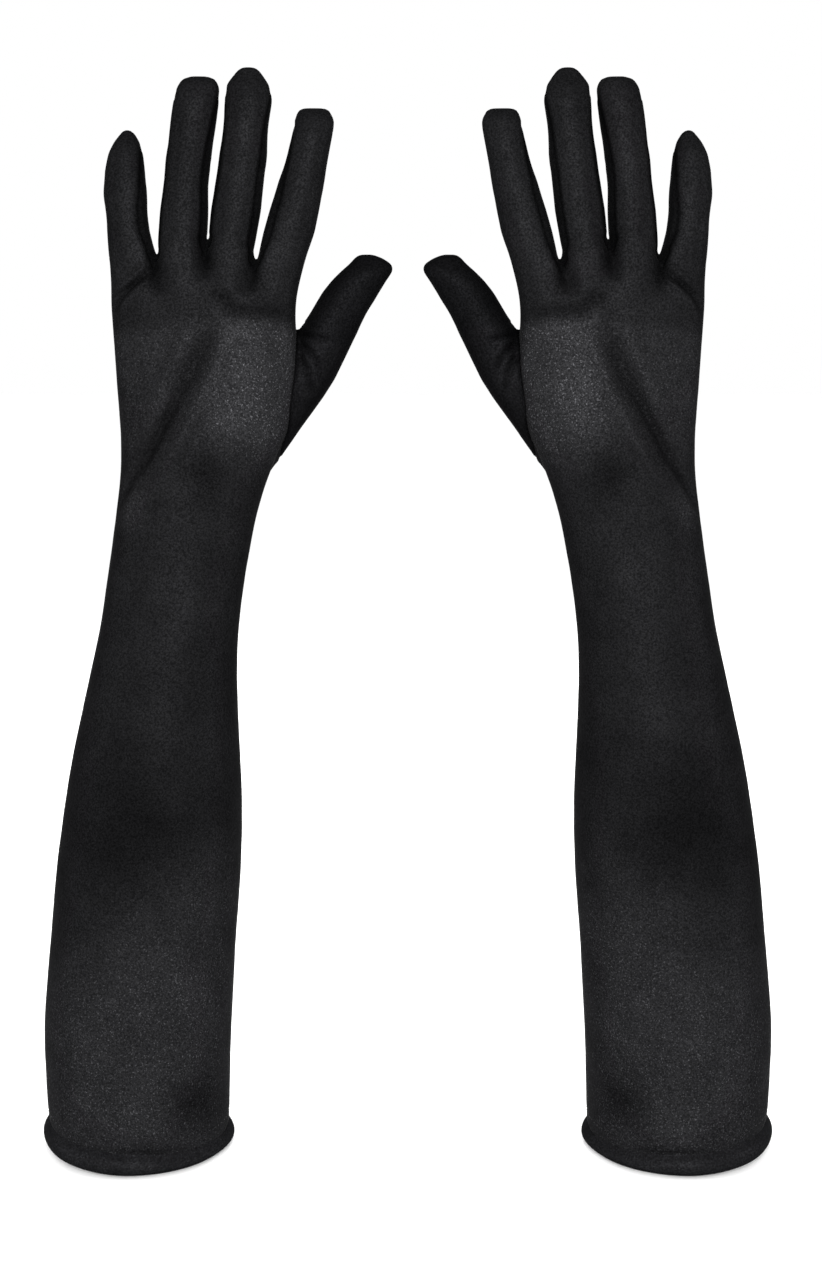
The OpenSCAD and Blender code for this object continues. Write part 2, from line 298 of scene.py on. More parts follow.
def with_pads(p, shape, back, palm):
    """The form with its knuckles, hollows and pads."""
    for name in FINGERS:
        knuckle = bump(p[:, ::2], (CENTRE[name], BASE[name] - KNUCKLE_DROP), KNUCKLE_SIZE)
        shape = shape - KNUCKLE_RISE * back * knuckle
    for side, rise, middle, size in PADS:
        shape = shape - rise * (palm if side == PALM else back) * bump(p, middle, size)
    return shape


def with_slots(p, shape, back, palm):
    """The form with the fingers kept apart, and a valley below each crotch."""
    x, z = p[:, 0], p[:, 2]
    for _, bottom, a, b in CROTCHES:
        one, two = fingers[a].section(z), fingers[b].section(z)
        middle = ((one[0] - one[2]) + (two[0] + two[2])) / 2
        slot = smooth_max(np.abs(x - middle) - SLOT_HALF, bottom + 2 - z, 1.5)
        shape = smooth_max(shape, -slot, 0.5)
        across = np.exp(-((x - middle) / VALLEY_HALF) ** 2)
        along = smooth_step(z, bottom - 18, bottom - 5) * (1 - smooth_step(z, bottom + 1, bottom + 5))
        shape = shape + (VALLEY_BACK * back + VALLEY_PALM * palm) * across * along
    return shape


def hand_form(p):
    """Distance from the hand inside the glove, before seams and folds."""
    x, y, z = p.T
    back = smooth_step(-y, 0, 8)
    palm = smooth_step(y, 0, 8)
    shape = with_pads(p, body.distance(p), back, palm)
    shape = smooth_max(shape, z - np.interp(x, WEB[:, 0], WEB[:, 1]), WEB_ROUND)
    digit = np.minimum.reduce([tube.distance(p) for tube in fingers.values()])
    shape = smooth_min(shape, digit, FINGER_FILLET)
    shape = with_slots(p, shape, back, palm)
    fillet = THUMB_FILLET + THUMB_FILLET_MORE * smooth_step(y, 0, 14)
    return smooth_min(shape, thumb.distance(p), fillet)


def gradient(field, p, reach=0.25):
    """The field's slope at points."""
    steps = reach * np.eye(3)
    return np.stack([(field(p + step) - field(p - step)) / (2 * reach) for step in steps], 1)


def project(field, p, rounds=1, level_only=False):
    """Moves points onto the field's zero surface, along its slope."""
    for _ in range(rounds):
        slope = gradient(field, p)
        if level_only:
            slope[:, 2] = 0
        far = np.clip(field(p) / np.maximum((slope ** 2).sum(1), 0.05), -3, 3)
        p = p - far[:, None] * slope
    return p


def net_quads(number, axis, one, two, crosses, inside):
    """A quad around each grid edge that the surface crosses, between the points of four cells."""
    at = np.argwhere(crosses)
    sides = at[:, [one, two]]
    at = at[((sides > 0) & (sides < np.array(number.shape)[[one, two]])).all(1)]
    along_one, along_two = np.eye(3, dtype=int)[[one, two]]
    cells = [at - along_one - along_two, at - along_two, at, at - along_one]
    quads = np.stack([number[tuple(c.T)] for c in cells], 1)
    flip = inside[tuple(at.T)] == (axis == 1)
    quads[flip] = quads[flip][:, ::-1]
    return quads


def surface_net(field, low, high, step):
    """The field's zero surface as points and quads, one point in each grid cell that it crosses."""
    axes = [np.arange(a, b + step, step) for a, b in zip(low, high)]
    grid = np.stack(np.meshgrid(*axes, indexing="ij"), -1)
    values = field(grid.reshape(-1, 3)).reshape(grid.shape[:3])
    cells = np.array(values.shape) - 1
    total, count = np.zeros((*cells, 3)), np.zeros(cells)
    crossings = []
    for axis in range(3):
        one, two = [k for k in range(3) if k != axis]
        here = values.take(range(cells[axis]), axis)
        there = values.take(range(1, cells[axis] + 1), axis)
        crosses = (here < 0) != (there < 0)
        share = np.where(crosses, here / np.where(crosses, here - there, 1), 0)
        crossings.append((axis, one, two, crosses, here < 0))
        for i, j in np.ndindex(2, 2):
            part = [slice(None)] * 3
            part[one], part[two] = slice(i, i + cells[one]), slice(j, j + cells[two])
            part = tuple(part)
            count += crosses[part]
            total[..., axis] += share[part]
            total[..., one] += i * crosses[part]
            total[..., two] += j * crosses[part]
    used = count > 0
    number = np.full(cells, -1)
    number[used] = np.arange(used.sum())
    points = np.array(low) + step * (np.argwhere(used) + total[used] / count[used][:, None])
    return points, np.concatenate([net_quads(number, *crossing) for crossing in crossings])


def relaxed(field, points, quads, rounds):
    """Evens out the points' spacing on the surface."""
    a, b = quads.T.ravel(), np.roll(quads, -1, 1).T.ravel()
    degree = np.bincount(a, minlength=len(points)) + np.bincount(b, minlength=len(points))
    for _ in range(rounds):
        sums = [np.bincount(a, c[b], len(c)) + np.bincount(b, c[a], len(c)) for c in points.T]
        mean = np.stack(sums, 1) / np.maximum(degree, 1)[:, None]
        points = project(field, points + 0.7 * (mean - points))
    return points


# --- Cutting the skin into pieces ---

def owner_of(p):
    """Which digit is nearest to each point, as an index in DIGITS."""
    spread = []
    for name in FINGERS:
        cx, _, half, _ = fingers[name].section(np.maximum(p[:, 2], BASE[name] - 8))
        spread.append(np.abs(p[:, 0] - cx) / half)
    owner = np.argmin(spread, 0)
    hand, own = body.section(p[:, 2]), thumb.section(p[:, 2])
    border = (hand[0] + hand[2] + own[0] - own[2]) / 2
    owner[(p[:, 0] > border) & (p[:, 2] < TOP["thumb"] + 3)] = DIGITS.index("thumb")
    return owner


# Where each finger's side strips end, the sides that have one, and how far they reach over the palm
# and the back of the finger as a share of its half depth
FOURCHETTE_TOP = {"index": 446, "middle": 461, "ring": 459, "little": 438}
FOURCHETTE_SIDES = {"index": (-1,), "middle": (-1, 1), "ring": (-1, 1), "little": (1,)}
FOURCHETTE_PALM = 0.5
FOURCHETTE_BACK = {("index", -1): 0.8, ("middle", -1): 0.55, ("middle", 1): 0.66, ("ring", -1): 0.5,
                   ("ring", 1): 0.66, ("little", 1): 0.8}
# The seam around the gore as (z, x), on the back and on the palm
GORE_BACK = np.array([(303, 74), (307, 68.5), (312, 67.5), (319, 70), (342, 73.4), (362, 74)])
GORE_PALM = np.array([(303, 72), (307, 63.5), (312, 54), (320, 49), (334, 51), (347, 58), (356, 67),
                      (362, 74)])


def fourchette_value(name, side):
    """Below 0 on the strip at a finger's side, from under the crotch to near the fingertip."""
    tube, top = fingers[name], FOURCHETTE_TOP[name]

    def value(p):
        across, deep = tube.offset(p)
        along = np.clip((top - p[:, 2]) / 30, 0, 1)
        reach = np.where(deep > 0, FOURCHETTE_PALM, FOURCHETTE_BACK[name, side])
        strip = np.abs(deep) - reach * along ** 0.35 - 0.02
        bottom = min(c[1] for c in CROTCHES if name in c[2:]) - 5
        outside = (p[:, 2] > top + 2) | (p[:, 2] < bottom) | (across * side < 0.1)
        other = owner_of(p) != DIGITS.index(name)
        return np.where(outside | other, np.nan, strip * 9)
    return value


def gore_value(p):
    """Above 0 on the part of the thumb piece that lies on the hand."""
    back = np.interp(p[:, 2], GORE_BACK[:, 0], GORE_BACK[:, 1])
    palm = np.interp(p[:, 2], GORE_PALM[:, 0], GORE_PALM[:, 1])
    border = back + (palm - back) * smooth_step(p[:, 1], 2, 13)
    return np.where(p[:, 2] > BASE["thumb"] + 3, np.nan, p[:, 0] - border)


def level_value(name, level):
    """Above 0 on a digit beyond a level."""
    index = DIGITS.index(name)

    def value(p):
        return np.where(owner_of(p) == index, p[:, 2] - level, np.nan)
    return value


NEAR = 0.25  # share of an edge from which a vertex slides to a line that crosses it


def split_along(bm, value):
    """Adds edges to the mesh where value is 0, and slides near vertices onto that line."""
    bm.verts.index_update()
    places = np.array([v.co for v in bm.verts])
    values = value(places)
    ends = np.array([(e.verts[0].index, e.verts[1].index) for e in bm.edges])
    crossing = np.where(values[ends].prod(1) < 0)[0]
    bm.verts.ensure_lookup_table()
    bm.edges.ensure_lookup_table()
    on_line, cuts = set(), []
    for k in crossing:
        i, j = ends[k]
        share = values[i] / (values[i] - values[j])
        near = i if share < NEAR else j if share > 1 - NEAR else None
        if near is None:
            cuts.append((bm.edges[k], bm.verts[i], share))
        elif near not in on_line:
            on_line.add(near)
            bm.verts[near].co = bm.verts[i].co.lerp(bm.verts[j].co, share)
    line = {bm.verts[i] for i in on_line}
    for edge, start, share in cuts:
        if start not in line and edge.other_vert(start) not in line:
            line.add(bmesh.utils.edge_split(edge, start, share)[1])
    for face in {f for v in line for f in v.link_faces}:
        corners = [v for v in face.verts if v in line]
        if len(corners) == 2 and not bm.edges.get(corners):
            bmesh.utils.face_split(face, *corners)
    return line


HAND_PIECES = ["hand", "thumb_gore", "crotches"]
HAND_PIECES += [name + part for name in DIGITS for part in ("_base", "_tip")]
HAND_PIECES += [name + part for name in FINGERS for part in ("_base_fourchette", "_tip_fourchette")]
PIECE_NUMBER = {name: i for i, name in enumerate(HAND_PIECES)}


def piece_of(p):
    """The piece that each point of the hand's skin belongs to, as an index in HAND_PIECES."""
    piece = np.full(len(p), PIECE_NUMBER["hand"])
    owner = owner_of(p)
    piece[(gore_value(p) > 0) & (p[:, 2] < BASE["thumb"])] = PIECE_NUMBER["thumb_gore"]
    for i, name in enumerate(DIGITS):
        mine = (owner == i) & (p[:, 2] > BASE[name])
        end = p[:, 2] > MIDDLE[name]
        piece[mine & ~end] = PIECE_NUMBER[name + "_base"]
        piece[mine & end] = PIECE_NUMBER[name + "_tip"]
        for side in FOURCHETTE_SIDES.get(name, ()):
            strip = fourchette_value(name, side)(p) < 0
            piece[strip & mine & ~end] = PIECE_NUMBER[name + "_base_fourchette"]
            piece[strip & mine & end] = PIECE_NUMBER[name + "_tip_fourchette"]
            piece[strip & (p[:, 2] <= BASE[name])] = PIECE_NUMBER["crotches"]
    return piece


def cut_hand_skin():
    """The hand's skin as points, polygons, the piece of each polygon, and the seams' points."""
    low, high = (-14, -26, HAND_START - 5), (120, 34, max(TOP.values()) + 3)
    points, quads = surface_net(hand_form, low, high, GRID_STEP)
    points = relaxed(hand_form, points, quads, rounds=8)
    mesh = bpy.data.meshes.new("skin")
    mesh.from_pydata(points.tolist(), [], quads.tolist())
    bm = bmesh.new()
    bm.from_mesh(mesh)
    bpy.data.meshes.remove(mesh)
    split_along(bm, lambda p: p[:, 2] - HAND_START)
    seams = [fourchette_value(name, side) for name in FINGERS for side in FOURCHETTE_SIDES[name]]
    seam_points = [tuple(v.co) for value in [*seams, gore_value] for v in split_along(bm, value)]
    for name in DIGITS:
        split_along(bm, level_value(name, BASE[name]))
        split_along(bm, level_value(name, MIDDLE[name]))
    below = [v for v in bm.verts if v.co.z < HAND_START - 1e-3]
    bmesh.ops.delete(bm, geom=below, context="VERTS")
    bm.verts.index_update()
    places = np.array([v.co for v in bm.verts])
    polygons = [[v.index for v in f.verts] for f in bm.faces]
    centres = np.array([places[f].mean(0) for f in polygons])
    bm.free()
    return places, polygons, piece_of(centres), seam_points


# --- Folds, creases and seams ---

# Each fold has the points of its line as (x, z), its depth, half width and the side that it is on.
# A ridge has a depth below 0.
FOLDS = [
    ([(40, 364), (35, 353), (28.5, 339), (21.5, 326), (13, 311), (5, 298)], 1.4, 4.4, BACK),
    ([(27, 337), (20.5, 325), (12, 310), (4, 297), (-3, 283)], 0.9, 1.7, BACK),
    ([(33, 327), (25.5, 315), (16.5, 303), (7, 291), (0, 282)], -0.6, 3.2, BACK),
    ([(15, 387), (7, 380.5), (-3, 374)], 1.0, 1.3, BACK),
    ([(13, 384.5), (6, 378.5), (-3, 370.5)], 0.8, 1.2, BACK),
    ([(8.5, 381.5), (3, 376), (-3, 367.5)], 0.7, 1.2, BACK),
    ([(36, 376), (44, 373), (49, 369), (56, 368), (72, 369)], 0.5, 3.2, BACK),
    ([(73.5, 360), (81, 358.5), (89, 356)], 0.6, 1.2, BACK),
    ([(74, 357), (80, 351), (85, 344)], 0.6, 1.3, BACK),
    ([(74, 352), (78, 343), (81, 334)], 0.5, 1.5, BACK),
    ([(74, 362), (60, 355), (49, 340), (44, 322), (43, 308)], 1.1, 2.4, PALM),
    ([(72, 367), (56, 362), (38, 358), (20, 350), (5, 344)], 0.8, 2.0, PALM),
    ([(-4, 366), (14, 366), (30, 371), (43, 381), (47, 390)], 0.7, 1.9, PALM),
    ([(2, 303), (22, 299.5), (44, 301), (58, 304)], 0.5, 1.8, PALM),
    ([(12, 340), (24, 328), (36, 316)], 0.45, 2.8, PALM),
    ([(30, 346), (38, 334), (42, 326)], 0.4, 2.4, PALM),
]

# Soft dents in the outer face as (x, z), depth and size
DENTS = [((29.5, 29), 0.9, (9, 12)), ((8, 11.5), 0.3, (16, 2.2)), ((36, 300), 0.5, (9, 11)),
         ((6, 150), 0.6, (24, 30))]


def distance_to_line(xz, line):
    """Distance to a line of points, and 0 to 1 along it."""
    line = np.array(line, float)
    lengths = np.linalg.norm(np.diff(line, axis=0), axis=1)
    starts = np.concatenate([[0], np.cumsum(lengths)])
    best, along = np.full(len(xz), 1e9), np.zeros(len(xz))
    for k, length in enumerate(lengths):
        way = (line[k + 1] - line[k]) / length
        t = np.clip((xz - line[k]) @ way, 0, length)
        far = np.linalg.norm(xz - line[k] - t[:, None] * way, axis=1)
        closer = far < best
        best[closer], along[closer] = far[closer], (starts[k] + t[closer]) / starts[-1]
    return best, along


def curve_through(points, count=24):
    """Points of a smooth curve through the given ones."""
    points = np.array(points, float)
    padded = np.concatenate([[2 * points[0] - points[1]], points, [2 * points[-1] - points[-2]]])
    found = []
    for i in range(len(points) - 1):
        a, b, c, d = padded[i:i + 4]
        for t in np.arange(0, 1, (len(points) - 1) / count):
            found.append(0.5 * (2 * b + (c - a) * t + (2 * a - 5 * b + 4 * c - d) * t ** 2
                                + (3 * b - a - 3 * c + d) * t ** 3))
    return np.array(found + [points[-1]])


def waves(p, seed, scale, count=14):
    """Soft irregular waves, mostly between -1 and 1, whose lengths are about the scale."""
    random = np.random.default_rng(seed)
    total = np.zeros(len(p))
    for _ in range(count):
        way = random.normal(size=3)
        way /= np.linalg.norm(way)
        total += np.sin(p @ way * 2 * math.pi / (scale * random.uniform(0.7, 1.6)) + random.uniform(0, 6.3))
    return total / math.sqrt(count) / 1.4


def side_seam_distance(p):
    """Distance from the long seam on the little finger's side, or a far one elsewhere."""
    cx, cy, _, _ = body.section(p[:, 2])
    little = fingers["little"].section(p[:, 2])
    share = smooth_step(p[:, 2], BASE["little"] - 6, BASE["little"] + 4)
    cx, cy = cx + (little[0] - cx) * share, cy + (little[1] - cy) * share
    return np.where(p[:, 0] < cx, np.abs(p[:, 1] - cy), 99)


FACING = (0.1, 0.6)  # how squarely cloth faces the viewer where dents start and are whole
SEAM_HALF = 0.8  # half width of a seam's groove
PUCKER = 3.4  # length of a seam's puckers
GORE_STEP = 0.55  # how far the gore lies below the hand's cloth
# Creases on the palm side of a middle joint: height above the joint, depth and half width
JOINT_CREASES = ((0, 0.9, 1.6), (4.5, 0.4, 1.3), (-4.5, 0.35, 1.3))


def dents(p, normals):
    """Lift and shade of the soft dents, and the shade below the crotches."""
    lift, shade = np.zeros(len(p)), np.zeros(len(p))
    facing = smooth_step(-normals[:, 1], *FACING)
    for middle, depth, size in DENTS:
        dent = bump(p[:, ::2], middle, size) * facing
        lift -= depth * dent
        shade = np.maximum(shade, 0.8 * dent)
    for middle, bottom, _, _ in CROTCHES:
        valley = bump(p[:, ::2], (middle, bottom - 8), (4.6, 7.5))
        shade = np.maximum(shade, 0.95 * valley * facing)
    return lift, shade


def folds(p, normals):
    """Lift and shade of the folds and ridges."""
    lift, shade = np.zeros(len(p)), np.zeros(len(p))
    for line, depth, width, side in FOLDS:
        far, along = distance_to_line(p[:, ::2], curve_through(line))
        fade = np.clip(np.minimum(along, 1 - along) * 5, 0, 1) ** 0.7
        facing = smooth_step(normals[:, 1] * side, 0.05, 0.5)
        bottom = np.exp(-(far / width) ** 2)
        banks = 0.55 * np.exp(-((far - 1.9 * width) / width) ** 2)
        lift += depth * fade * facing * (banks - bottom)
        dark = min(0.85, 0.45 + 0.35 * depth) if depth > 0 else 0
        shade = np.maximum(shade, dark * fade * facing * bottom)
    return lift, shade


def joints(p):
    """Lift of the swell at each digit's middle joint and of the creases on its palm side."""
    lift = np.zeros(len(p))
    for name, tube in digits.items():
        across, deep = tube.offset(p)
        mine = (np.abs(across) < 1.25) & (np.abs(deep) < 1.5) & (p[:, 2] > BASE[name] - 4)
        far = p[:, 2] - MIDDLE[name]
        creases = sum(depth * np.exp(-((far - at) / half) ** 2) for at, depth, half in JOINT_CREASES)
        swell = 0.5 * np.exp(-(far / 6) ** 2)
        lift += np.where(mine, swell - smooth_step(deep, 0.1, 0.8) * creases, 0)
    return lift


def seam_distance(p, seam_tree):
    """Distance from the nearest seam: those of the tree, the long one, and those over the tips."""
    seam = side_seam_distance(p)
    if seam_tree is not None:
        seam = np.minimum(seam, [seam_tree.find(q)[2] for q in p])
    for name in FINGERS:
        cx, cy, _, _ = fingers[name].section(p[:, 2])
        at_tip = (np.abs(p[:, 0] - cx) < 11) & (p[:, 2] > FOURCHETTE_TOP[name] - 3)
        seam = np.minimum(seam, np.where(at_tip, np.abs(p[:, 1] - cy), 99))
    return seam


def relief(p, normals, seam_tree=None):
    """How far each point moves outwards, and its painted shade: in the seams, the folds' bottoms, the dents
    and below the crotches.
    """
    dent, dent_shade = dents(p, normals)
    fold, fold_shade = folds(p, normals)
    lift = 0.22 * waves(p, 3, 46) + 0.07 * waves(p, 5, 17) + dent + fold + joints(p)
    seam = seam_distance(p, seam_tree)
    pucker = 0.5 + 0.5 * np.cos(2 * math.pi * (p[:, 2] + 0.4 * p[:, 0]) / PUCKER)
    lift -= (0.24 + 0.16 * pucker) * np.exp(-(seam / SEAM_HALF) ** 2)
    lift += 0.12 * np.exp(-((seam - 2) / 0.9) ** 2)
    edge = np.nan_to_num(gore_value(p), nan=99)
    step = GORE_STEP * smooth_step(p[:, 2], 304, 318)
    lift -= np.where(np.abs(edge) < 8, step * smooth_step(edge, -0.4, 0.5) * (1 - edge / 8), 0)
    return lift, np.maximum.reduce([dent_shade, fold_shade, np.exp(-(seam / 1.3) ** 2)])


# --- Making pieces ---

def face_areas(points, polygons):
    """The polygons in groups of one number of corners, with twice each one's area as a vector."""
    for size in (3, 4, 5, 6):
        faces = np.array([f for f in polygons if len(f) == size], int).reshape(-1, size)
        corner = points[faces]
        area = np.zeros((len(faces), 3))
        for k in range(1, size - 1):
            area += np.cross(corner[:, k] - corner[:, 0], corner[:, k + 1] - corner[:, 0])
        yield faces, area


def vertex_normals(points, polygons):
    normals = np.zeros_like(points)
    for faces, area in face_areas(points, polygons):
        for k in range(faces.shape[1]):
            np.add.at(normals, faces[:, k], area)
    return normals / np.maximum(np.linalg.norm(normals, axis=1), 1e-9)[:, None]


MIRROR = {"left": np.array([1, 1, 1]), "right": np.array([-1, 1, 1])}


def add_object(name, data):
    added = bpy.data.objects.new(name, data)
    bpy.context.scene.collection.objects.link(added)
    return added


def glove_mesh(name, side, places, faces):
    """A mesh of the left glove, or its mirror image for the right one."""
    mesh = bpy.data.meshes.new(f"{side}_{name}")
    turned = faces if side == "left" else [f[::-1] for f in faces]
    mesh.from_pydata(((places + ORIGIN) * MM * MIRROR[side]).tolist(), [], turned)
    mesh.shade_smooth()
    return mesh


def set_normals(mesh, normals, rim):
    """Gives the mesh its vertices' normals, but flat ones to its last faces, which are the rim."""
    loop_vertex = np.empty(len(mesh.loops), np.int32)
    mesh.loops.foreach_get("vertex_index", loop_vertex)
    loop_normals = normals[loop_vertex]
    if rim:
        rim_normals = np.array([p.normal for p in list(mesh.polygons)[-rim:]])
        loop_normals[-4 * rim:] = np.repeat(rim_normals, 4, 0)
    mesh.normals_split_custom_set(loop_normals.tolist())


def cloth_piece(name, points, normals, polygons, painted_shade):
    """Closed cloth over the polygons, for both gloves, with the marks that its satin reads: a painted
    highlight and painted shade.
    """
    # A painted highlight where the hand stretches the cloth, and painted shade in the seams, the folds'
    # bottoms, the dents and below the crotches
    marks = {"stretch": stretch_and_highlight_of(points), "seam": painted_shade}
    used = np.unique(np.concatenate([np.array(f) for f in polygons]))
    number = {int(v): i for i, v in enumerate(used)}
    outer = [[number[v] for v in f] for f in polygons]
    n = len(used)
    edges = dict.fromkeys(edge for face in outer for edge in zip(face, face[1:] + face[:1]))
    rim = [(a, b) for a, b in edges if (b, a) not in edges]
    faces = outer + [[v + n for v in reversed(f)] for f in outer]
    faces += [[b, a, a + n, b + n] for a, b in rim]
    places = np.concatenate([points[used], points[used] - CLOTH * normals[used]])
    corner_normals = np.concatenate([normals[used], -normals[used]])
    made = {}
    for side in MIRROR:
        mesh = glove_mesh(name, side, places, faces)
        for key, values in marks.items():
            layer = mesh.attributes.new(key, "FLOAT", "POINT")
            layer.data.foreach_set("value", np.tile(values[used], 2).astype(np.float32))
        set_normals(mesh, corner_normals * MIRROR[side], len(rim))
        made[side] = add_object(f"{side}_{name}_cloth", mesh)
    return made


def sleeve_skin():
    """The sleeve from the hem's crease to the hand, as a grid of rings."""
    levels = np.arange(SLEEVE_LOW, HAND_START, SLEEVE_RING_STEP)
    levels = np.append(levels[HAND_START - levels > 0.8], HAND_START)
    cx, cy, half, depth = body.section(levels)
    x = cx[:, None] + half[:, None] * np.cos(AROUND)
    y = cy[:, None] + depth[:, None] * np.sin(AROUND)
    z = np.broadcast_to(levels[:, None], x.shape)
    points = project(hand_form, np.stack([x, y, z], -1).reshape(-1, 3), rounds=5, level_only=True)
    return points, ring_quads(len(levels))


def ring_quads(rings, columns=SLEEVE_COLUMNS):
    """The quads of a grid of rings that closes around."""
    rows = np.arange(rings * columns).reshape(rings, columns)
    low, high = rows[:-1], rows[1:]
    corners = [low, np.roll(low, -1, 1), np.roll(high, -1, 1), high]
    return np.stack(corners, -1).reshape(-1, 4).tolist()


SLEEVE_LOW = 9.6  # the crease where the hem is turned up
# On the little finger's side: how far the hem's edge is off the table, and how much taller its roll
# is, as a share. The roll is as much lower on the thumb's side.
HEM_LIFT = 2.0
HEM_TILT = 0.3
HEM_HALF = 42  # half of the hem's width
HEM_SWAYS = ((0.22, 3, 1), (0.12, 8, 2))  # size, waves around it and phase
# The hem's roll as (radius beyond the sleeve's, height), from the crease down, under and up inside
HEM_LINE = [(-1.9, 11.6), (-1.45, 10.6), (-0.8, 9.55), (0.1, 8.6), (1.2, 7.4), (2.1, 5.9), (2.4, 4.5),
            (2.2, 3.1), (1.4, 1.7), (0.1, 0.65), (-1.4, 0.15), (-2.6, 0.25), (-3.2, 1.3), (-2.9, 3.2),
            (-2.2, 5.6), (-2.0, 8.6), (-2.0, 13.6)]


def hem_sway(points):
    """Raises the roll on the little finger's side of the hem, and fades out up the sleeve."""
    x, _, z = points.T
    share = 1 - smooth_step(z, SLEEVE_LOW + 1, SLEEVE_LOW + 30)
    points = points.copy()
    points[:, 2] -= HEM_TILT * np.minimum(z, SLEEVE_LOW) * share * x / HEM_HALF
    outer = np.clip(-x / HEM_HALF, 0, 1) ** 1.5
    points[:, 2] += HEM_LIFT * outer * (1 - smooth_step(z, 0, SLEEVE_LOW + 4))
    return points


def hem_skin():
    """The hem's roll, as a grid of rings along its line."""
    line = curve_through(HEM_LINE, count=3 * len(HEM_LINE))
    cx, cy, half, depth = [float(v) for v in body.section(height("sleeve"))]
    sway = sum(size * np.sin(count * AROUND + phase) for size, count, phase in HEM_SWAYS)
    sway = sway - 0.35 * np.cos(AROUND)
    points = []
    for reach, level in line:
        wide = reach + sway * smooth_step(reach, -0.8, 1.2)
        points.append(np.stack([cx + (half + wide) * np.cos(AROUND), cy + (depth + wide) * np.sin(AROUND),
                                np.full(SLEEVE_COLUMNS, level)], -1))
    return hem_sway(np.concatenate(points)), [q[::-1] for q in ring_quads(len(line))]


# --- Materials ---

def new_material(name):
    """A material, its nodes and links, and its shader."""
    material = bpy.data.materials.new(name)
    material.use_nodes = True
    nodes, links = material.node_tree.nodes, material.node_tree.links
    return material, nodes, links, nodes["Principled BSDF"]


def set_values(node, values):
    """Sets constants on a node's own sockets."""
    for key, value in values.items():
        node.inputs[key].default_value = value


def node_forms(nodes, links):
    """Short forms for a material's nodes: noise, map range, arithmetic and a vertex's mark."""
    def noise(vector, scale, detail):
        node = nodes.new("ShaderNodeTexNoise")
        set_values(node, {"Scale": scale, "Detail": detail})
        links.new(vector, node.inputs["Vector"])
        return node.outputs["Fac"]

    def remap(value, low, high, to_low, to_high):
        node = nodes.new("ShaderNodeMapRange")
        set_values(node, {"From Min": low, "From Max": high, "To Min": to_low, "To Max": to_high})
        links.new(value, node.inputs["Value"])
        return node.outputs["Result"]

    def maths(operation, a, b):
        node = nodes.new("ShaderNodeMath")
        node.operation = operation
        links.new(a, node.inputs[0])
        links.new(b, node.inputs[1])
        return node.outputs["Value"]

    def mark(name):
        node = nodes.new("ShaderNodeAttribute")
        node.attribute_name = name
        return node.outputs["Fac"]
    return noise, remap, maths, mark


def satin(name, colour, glint_share=1.0):
    """Black satin that stretches: fine painted glints, lighter where it is stretched, which is mostly a
    painted highlight, and painted shade in its seams, the folds' bottoms, the dents and below the crotches.
    """
    material, nodes, links, shader = new_material(name)
    noise, remap, maths, mark = node_forms(nodes, links)
    set_values(shader, {"Specular IOR Level": 0.0, "Metallic": 0.4, "Specular Tint": (0.02, 0.02, 0.02, 1),
                        "Sheen Weight": 0.014, "Sheen Roughness": 0.3})
    place = nodes.new("ShaderNodeTexCoord").outputs["Object"]
    grain = noise(place, 1250, 2)
    # Painted glints: bright specks in the base colour, stronger in the painted highlight
    glint_specks = remap(noise(place, 1450, 1), 0.6, 0.77, 0, 1.9 * glint_share)
    cloud = remap(noise(place, 55, 4), 0.3, 0.7, 0.82, 1.18)
    # Painted highlight: the base colour is lighter where the hand stretches the satin
    stretch = mark("stretch")
    painted_glints = maths("MULTIPLY", glint_specks, remap(stretch, 0, 1, 0.3, 2.3))
    light = maths("ADD", remap(grain, 0.36, 0.66, 0.62, 1.4), painted_glints)
    light = maths("MULTIPLY", light, cloud)
    light = maths("MULTIPLY", light, remap(stretch, 0, 1, 1.2, 2.25))
    # The seam mark is painted shade: darker in the seams, the folds' bottoms, the dents and below the
    # crotches
    light = maths("MULTIPLY", light, remap(mark("seam"), 0, 1, 1, 0.36))
    tint = nodes.new("ShaderNodeVectorMath")
    tint.operation = "SCALE"
    tint.inputs[0].default_value = colour
    links.new(light, tint.inputs["Scale"])
    links.new(tint.outputs["Vector"], shader.inputs["Base Color"])
    links.new(remap(grain, 0.3, 0.7, 0.56, 0.4), shader.inputs["Roughness"])
    weave = nodes.new("ShaderNodeBump")
    set_values(weave, {"Strength": 0.4, "Distance": 0.0002})
    links.new(grain, weave.inputs["Height"])
    links.new(weave.outputs["Normal"], shader.inputs["Normal"])
    return material


def floor_material():
    """A pale floor that glows a little, so that it is as white as the background."""
    material, _, _, shader = new_material("floor")
    set_values(shader, {"Base Color": (0.92, 0.92, 0.92, 1), "Roughness": 0.8,
                        "Emission Color": (1, 1, 1, 1), "Emission Strength": 0.1})
    return material


def twisted_thread():
    """Black sewing thread, with the twist of its strands."""
    material, nodes, links, shader = new_material("thread")
    set_values(shader, {"Base Color": (0.006, 0.006, 0.0066, 1), "Specular IOR Level": 0.12,
                        "Roughness": 0.45})
    place = nodes.new("ShaderNodeTexCoord").outputs["Object"]
    twist = nodes.new("ShaderNodeTexWave")
    twist.bands_direction = "DIAGONAL"
    twist.inputs["Scale"].default_value = 1600
    links.new(place, twist.inputs["Vector"])
    bumps = nodes.new("ShaderNodeBump")
    bumps.inputs["Distance"].default_value = 0.00008
    links.new(twist.outputs["Fac"], bumps.inputs["Height"])
    links.new(bumps.outputs["Normal"], shader.inputs["Normal"])
    return material


# The material of each slot
MATERIALS = {
    "trank_satin": satin("trank_satin", (0.0060, 0.0060, 0.0064)),
    # The thumb's satin is darker: painted shade for the shade that the thumb lies in
    "thumb_satin": satin("thumb_satin", (0.0034, 0.0034, 0.0037), 0.6),
    "fourchette_satin": satin("fourchette_satin", (0.0046, 0.0046, 0.0049), 0.5),
    "hem_satin": satin("hem_satin", (0.0048, 0.0048, 0.0052), 0.4),
    "thread": twisted_thread(),
}


# --- Building the gloves ---

